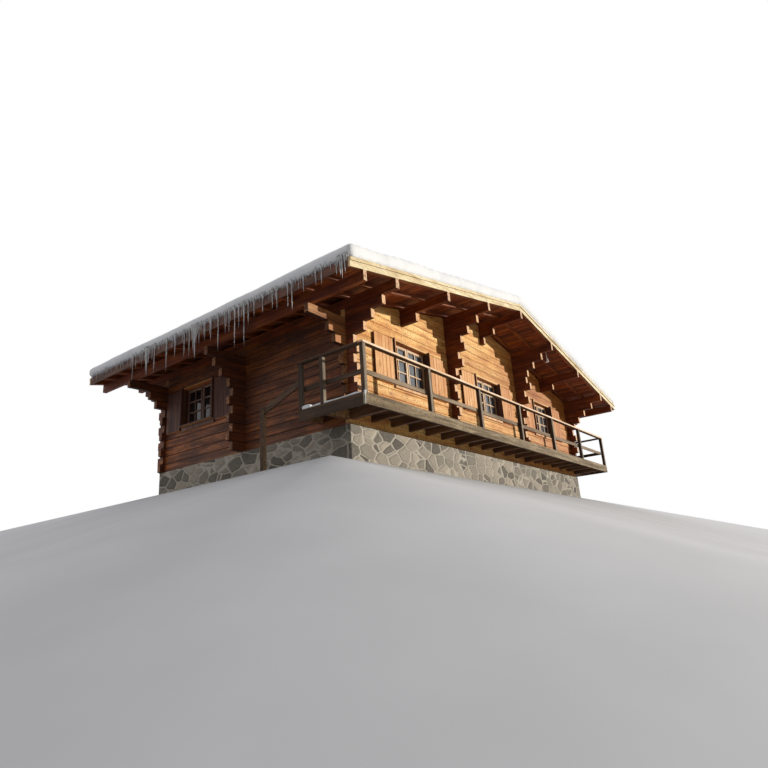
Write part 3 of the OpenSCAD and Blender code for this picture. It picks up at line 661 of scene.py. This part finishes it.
def railing():
    """Square posts with planed arrises, a flat cap rail laid in lengths on them and one board rail inside."""
    over, joint = 0.015, 0.002                                       # cap rail past the posts; gap between lengths
    cap_low, inside = RAIL_TOP - CAP_T, -DECK_Y + POST
    post = timber("railing_posts_planed", (-POST / 2, -POST / 2, 0), (POST / 2, POST / 2, cap_low - DECK), 0.008)
    spots = [(-POST_X + i * 2 * POST_X / POST_BAYS, -DECK_Y + POST / 2) for i in range(POST_BAYS + 1)]
    for x in (-POST_X, POST_X):
        spots += [(x, -HALF_LEN + SIDE_POST), (x, -DECK_END - POST / 2)]
    posts = repeated(post, [moved(x, y, DECK) for x, y in spots])
    finished(as_one("railing_posts_planed", posts), POST_WOOD, "balcony_wood", "railing_posts")
    cut = POST_X * 2 / 3
    caps = [timber("cap", (a + joint, -DECK_Y - over, cap_low), (b - joint, -DECK_Y - over + CAP_W, RAIL_TOP), 0.007)
            for a, b in ((-DECK_X - over, -cut), (-cut, cut), (cut, DECK_X + over))]
    finished(as_one("cap_rail_lengths", caps), CAP_WOOD, "balcony_wood", "front_cap_rail")
    end = 6.48
    mids = [timber("mid", (a, inside, MID_LOW), (b, inside + MID_T, MID_HIGH), 0.005)
            for a, b in ((-end, -joint), (joint, end))]
    finished(as_one("mid_rail_lengths", mids), BALCONY, "balcony_wood", "front_mid_rail")
    sides = []
    for s in (-1, 1):
        cap = sorted((s * (DECK_X + over), s * (DECK_X + over - CAP_W)))
        mid = sorted((s * (POST_X - POST / 2), s * (POST_X - POST / 2 - MID_T)))
        cap_front = -DECK_Y - over + CAP_W + joint
        sides.append(timber("side_cap", (cap[0], cap_front, cap_low), (cap[1], -DECK_END, RAIL_TOP), 0.007))
        sides.append(timber("side_mid", (mid[0], inside, MID_LOW), (mid[1], -DECK_END, MID_HIGH), 0.005))
    finished(as_one("side_rail_lengths", sides), BALCONY_Y, "balcony_wood", "side_rails")


# ---------------------------------------------------------------- windows
def open_frame(name, width, height, member, depth, arris=0.004):
    """A flat ring of four members: a plane inset, its middle taken out, thickened and bevelled."""
    let_go()
    bpy.ops.mesh.primitive_plane_add(size=1, rotation=(math.pi / 2, 0, 0))
    ring = bpy.context.object
    ring.name = name
    ring.scale = (width, height, 1)
    bake_place(ring)
    edit_faces(ring, lambda centre, normal: True)
    bpy.ops.mesh.inset(thickness=member)
    bpy.ops.mesh.delete(type="FACE")
    bpy.ops.object.mode_set(mode="OBJECT")
    modified(ring, ("SOLIDIFY", {"thickness": depth, "offset": 0}),
             ("BEVEL", {"width": arris, "segments": 2, "limit_method": "ANGLE"}))
    return ring


def glazing_bars(name, width, height, columns, rows, bar, depth):
    """The bars between small panes: a grid of faces, each inset and its middle taken out."""
    let_go()
    bpy.ops.mesh.primitive_grid_add(x_subdivisions=columns, y_subdivisions=rows, size=1,
                                    rotation=(math.pi / 2, 0, 0))
    grid = bpy.context.object
    grid.name = name
    grid.scale = (width, height, 1)
    bake_place(grid)
    edit_faces(grid, lambda centre, normal: True)
    bpy.ops.mesh.inset(thickness=bar / 2, use_individual=True)
    bpy.ops.mesh.delete(type="FACE")
    bpy.ops.object.mode_set(mode="OBJECT")
    modified(grid, ("SOLIDIFY", {"thickness": depth, "offset": 0}),
             ("BEVEL", {"width": 0.003, "segments": 1, "limit_method": "ANGLE"}))
    return grid


def casement_window(width, height):
    """Outer frame, middle post and two sashes of six panes each; its outer face on y 0, centred on x and z."""
    member, middle, stile, bar = 0.060, 0.050, 0.035, 0.030          # widths seen from in front
    deep, sash_deep, bar_deep, lap = 0.070, 0.040, 0.024, 0.002      # depths; how far the middle post runs in
    outer = open_frame("outer", width - 0.002, height - 0.002, member, deep)
    outer.data.transform(moved(0, deep / 2, 0))
    post_top = height / 2 - member + lap
    post = timber("meeting_post", (-middle / 2, 0.004, -post_top), (middle / 2, deep - 0.002, post_top), 0.006)
    parts = [outer, post]
    sash_w, sash_h = (width - middle) / 2 - member, height - 2 * member
    for s in (-1, 1):
        x = s * (sash_w + middle) / 2
        ring = open_frame("sash", sash_w, sash_h, stile, sash_deep)
        ring.data.transform(moved(x, 0.012, 0))
        bars = glazing_bars("bars", sash_w - 2 * stile + 0.008, sash_h - 2 * stile + 0.008, 2, 3, bar, bar_deep)
        bars.data.transform(moved(x, 0.016, 0))
        parts += [ring, bars]
    return as_one("casement", parts)


def opening_boards(width, height):
    """The boards that line a window opening, with the strips the shutters hang on, and the head board by itself.

    The face of the logs is on y 0; the opening is centred on x and z."""
    side, foot, top = width / 2, -height / 2, height / 2
    clear = side - CASING_T                                          # between the jambs
    sill_out, strip_out, half_strip = CASING_OUT + 0.006, 0.055, 0.028
    boards = [timber("jamb", (low, -CASING_OUT, foot), (low + CASING_T, REVEAL, top), 0.005) for low in (-side, clear)]
    boards.append(timber("sill", (-clear, -sill_out, foot + 0.001), (clear, REVEAL, foot + CASING_T), 0.006))
    boards.append(timber("apron", (-side, -CASING_T, foot - APRON), (side, 0, foot - 0.001), 0.005))
    for middle in (-side - half_strip - 0.001, side + half_strip + 0.001):
        boards.append(timber("shutter_strip", (middle - half_strip, -strip_out, foot), (middle + half_strip, 0, top),
                             0.004))
    head = timber("head_board", (-clear, -CASING_T, top - CASING_T), (clear, REVEAL, top), 0.005)
    return as_one("opening_boards", boards), head


def windows():
    """Casements and their opening boards at five gable windows and two side windows."""
    turned = Matrix.Rotation(math.pi, 4, "Z")
    gable_spots = [moved(x, -HALF_LEN, GABLE_WINDOW_Z) for x in (-GABLE_WINDOW_X, 0, GABLE_WINDOW_X)]
    gable_spots += [moved(x, HALF_LEN, GABLE_WINDOW_Z) @ turned for x in (-GABLE_WINDOW_X, GABLE_WINDOW_X)]
    side_spots = [moved(s * HALF_W, SIDE_WINDOW_Y, SIDE_WINDOW_Z) @ Matrix.Rotation(s * math.pi / 2, 4, "Z")
                  for s in (-1, 1)]
    casements, boards, heads = [], [], []
    for size, spots in ((GABLE_WINDOW, gable_spots), (SIDE_WINDOW, side_spots)):
        casement = casement_window(*size)
        casement.data.transform(moved(0, REVEAL, 0))
        lining, head = opening_boards(*size)
        casements += repeated(casement, spots)
        boards += repeated(lining, spots)
        heads += repeated(head, spots)
    finished(as_one("casement_windows", casements), FRAME, "frame_paint", "window_frames")
    finished(as_one("casing_boards", boards), CASING, "casing_wood", "window_casings")
    finished(as_one("casing_head_boards", heads), HEAD_BOARD, "casing_wood", "window_casings")


# ---------------------------------------------------------------- snow on the balcony
def snow_ridge(name, low, high, seed):
    """A low bank of snow lying along an edge."""
    let_go()
    low, high = Vector(low), Vector(high)
    bpy.ops.mesh.primitive_cube_add(size=1, location=(low + high) / 2)
    bank = bpy.context.object
    bank.name = name
    bank.scale = high - low
    bake_place(bank)
    modified(bank, ("REMESH", {"mode": "VOXEL", "voxel_size": 0.02}), ("SMOOTH", {"factor": 0.6, "iterations": 8}))
    shift = Vector((seed, seed, 0))
    for v in bank.data.vertices:
        share = (v.co.z - low.z) / (high.z - low.z)
        wave = 0.55 + 0.45 * noise.noise(v.co * 1.7 + shift) + 0.25 * noise.noise(v.co * 6 + shift)
        v.co.z = low.z + max(share, 0) * (high.z - low.z) * max(wave, 0.12)
    return bank


def balcony_snow():
    """Snow left along the left side strip, and a frozen drip down the corner of the edge boards."""
    outer, back, foot = -6.60, -2.40, DECK - 0.003
    banks = [snow_ridge("ridge_side", (outer, -3.90, foot), (-6.52, back, DECK + 0.06), 1.0),
             snow_ridge("lump_far_end", (outer, -2.66, foot), (-6.46, back, DECK + 0.13), 5.0),
             snow_ridge("lump_corner", (outer, -4.04, foot), (-6.48, -3.86, DECK + 0.07), 3.0)]
    drip, thick, long = icicle("corner_drip", 1.0), 0.045, 0.28
    drip.data.transform(moved(-DECK_X, -DECK_Y, DECK + 0.02) @ Matrix.Diagonal((thick, thick, long, 1)))
    banks.append(drip)
    finished(as_one("snow_on_boards", banks), SNOW, "snow", smooth=60)


roof_boards()
roof_snow()
icicles()
balcony_boards()
railing()
windows()
balcony_snow()


# ---------------------------------------------------------------- floor and light
def hill_floor():
    """Plain pale floor: level under the house, falling away in front and to the left, below the viewpoint."""
    let_go()
    level_x, level_y, fall = -6.65, -3.2, 0.36                       # the level part's corner; slope beyond it
    bpy.ops.mesh.primitive_grid_add(x_subdivisions=300, y_subdivisions=300, size=150,
                                    location=(level_x + 25, level_y + 25, 0))
    floor = bpy.context.object
    floor.name = "pale_floor"
    bake_place(floor)
    for v in floor.data.vertices:
        over = math.hypot(max(0.0, level_x - v.co.x), max(0.0, level_y - v.co.y))
        v.co.z = -fall * over - 0.002
    made, tree, place = new_finish("pale_backdrop_paint")
    tone = noise_of(tree, place.outputs["Object"], 0.6, 3)
    tone = add(tree, "ShaderNodeValToRGB", {0: tone}, stops=[(0.3, "#cdced1"), (0.7, "#d5d6d9")]).outputs[0]
    close_finish(tree, tone, 0.95)
    floor.data.materials.append(made)
    take(floor)
    bpy.ops.object.shade_smooth()


SUN_WAY = Vector((0.643, -0.766, 0.092))


def lights():
    """A dome that is brighter overhead than before the gable, and one low key from the right of the gable."""
    world = bpy.data.worlds.new("studio")
    bpy.context.scene.world = world
    world.use_nodes = True
    tree = world.node_tree
    tree.nodes.clear()
    rays = add(tree, "ShaderNodeLightPath").outputs
    seen = reckon(tree, rays["Is Camera Ray"], reckon(tree, rays["Is Glossy Ray"], rays["Is Transmission Ray"]))
    seen = reckon(tree, seen, 1.0, "MINIMUM")
    way = add(tree, "ShaderNodeSeparateXYZ", {0: add(tree, "ShaderNodeTexCoord").outputs["Generated"]}).outputs
    high = spread_over(tree, way[2], -0.05, 0.80, 0.09, 1.0)
    front = spread_over(tree, way[1], -0.7, 0.2, 0.13, 1.0)
    left = spread_over(tree, way[0], -0.8, -0.1, 1.5, 1.0)
    high = reckon(tree, high, reckon(tree, front, left, "MULTIPLY"), "MULTIPLY")
    dome = add(tree, "ShaderNodeBackground", {0: colour("#f6f5f6"), 1: high}).outputs[0]
    white = add(tree, "ShaderNodeBackground", {0: (1, 1, 1, 1), 1: 1.0}).outputs[0]
    both = add(tree, "ShaderNodeMixShader", {0: seen, 1: dome, 2: white}).outputs[0]
    add(tree, "ShaderNodeOutputWorld", {0: both})
    sun = bpy.data.lights.new("key", "SUN")
    sun.energy = 3.7
    sun.angle = math.radians(1.2)
    sun.color = (1.0, 0.95, 0.86)
    lamp = bpy.data.objects.new("key", sun)
    lamp.rotation_euler = SUN_WAY.to_track_quat("Z", "Y").to_euler()
    bpy.context.collection.objects.link(lamp)


hill_floor()
lights()
bpy.context.scene.view_settings.view_transform = "Standard"
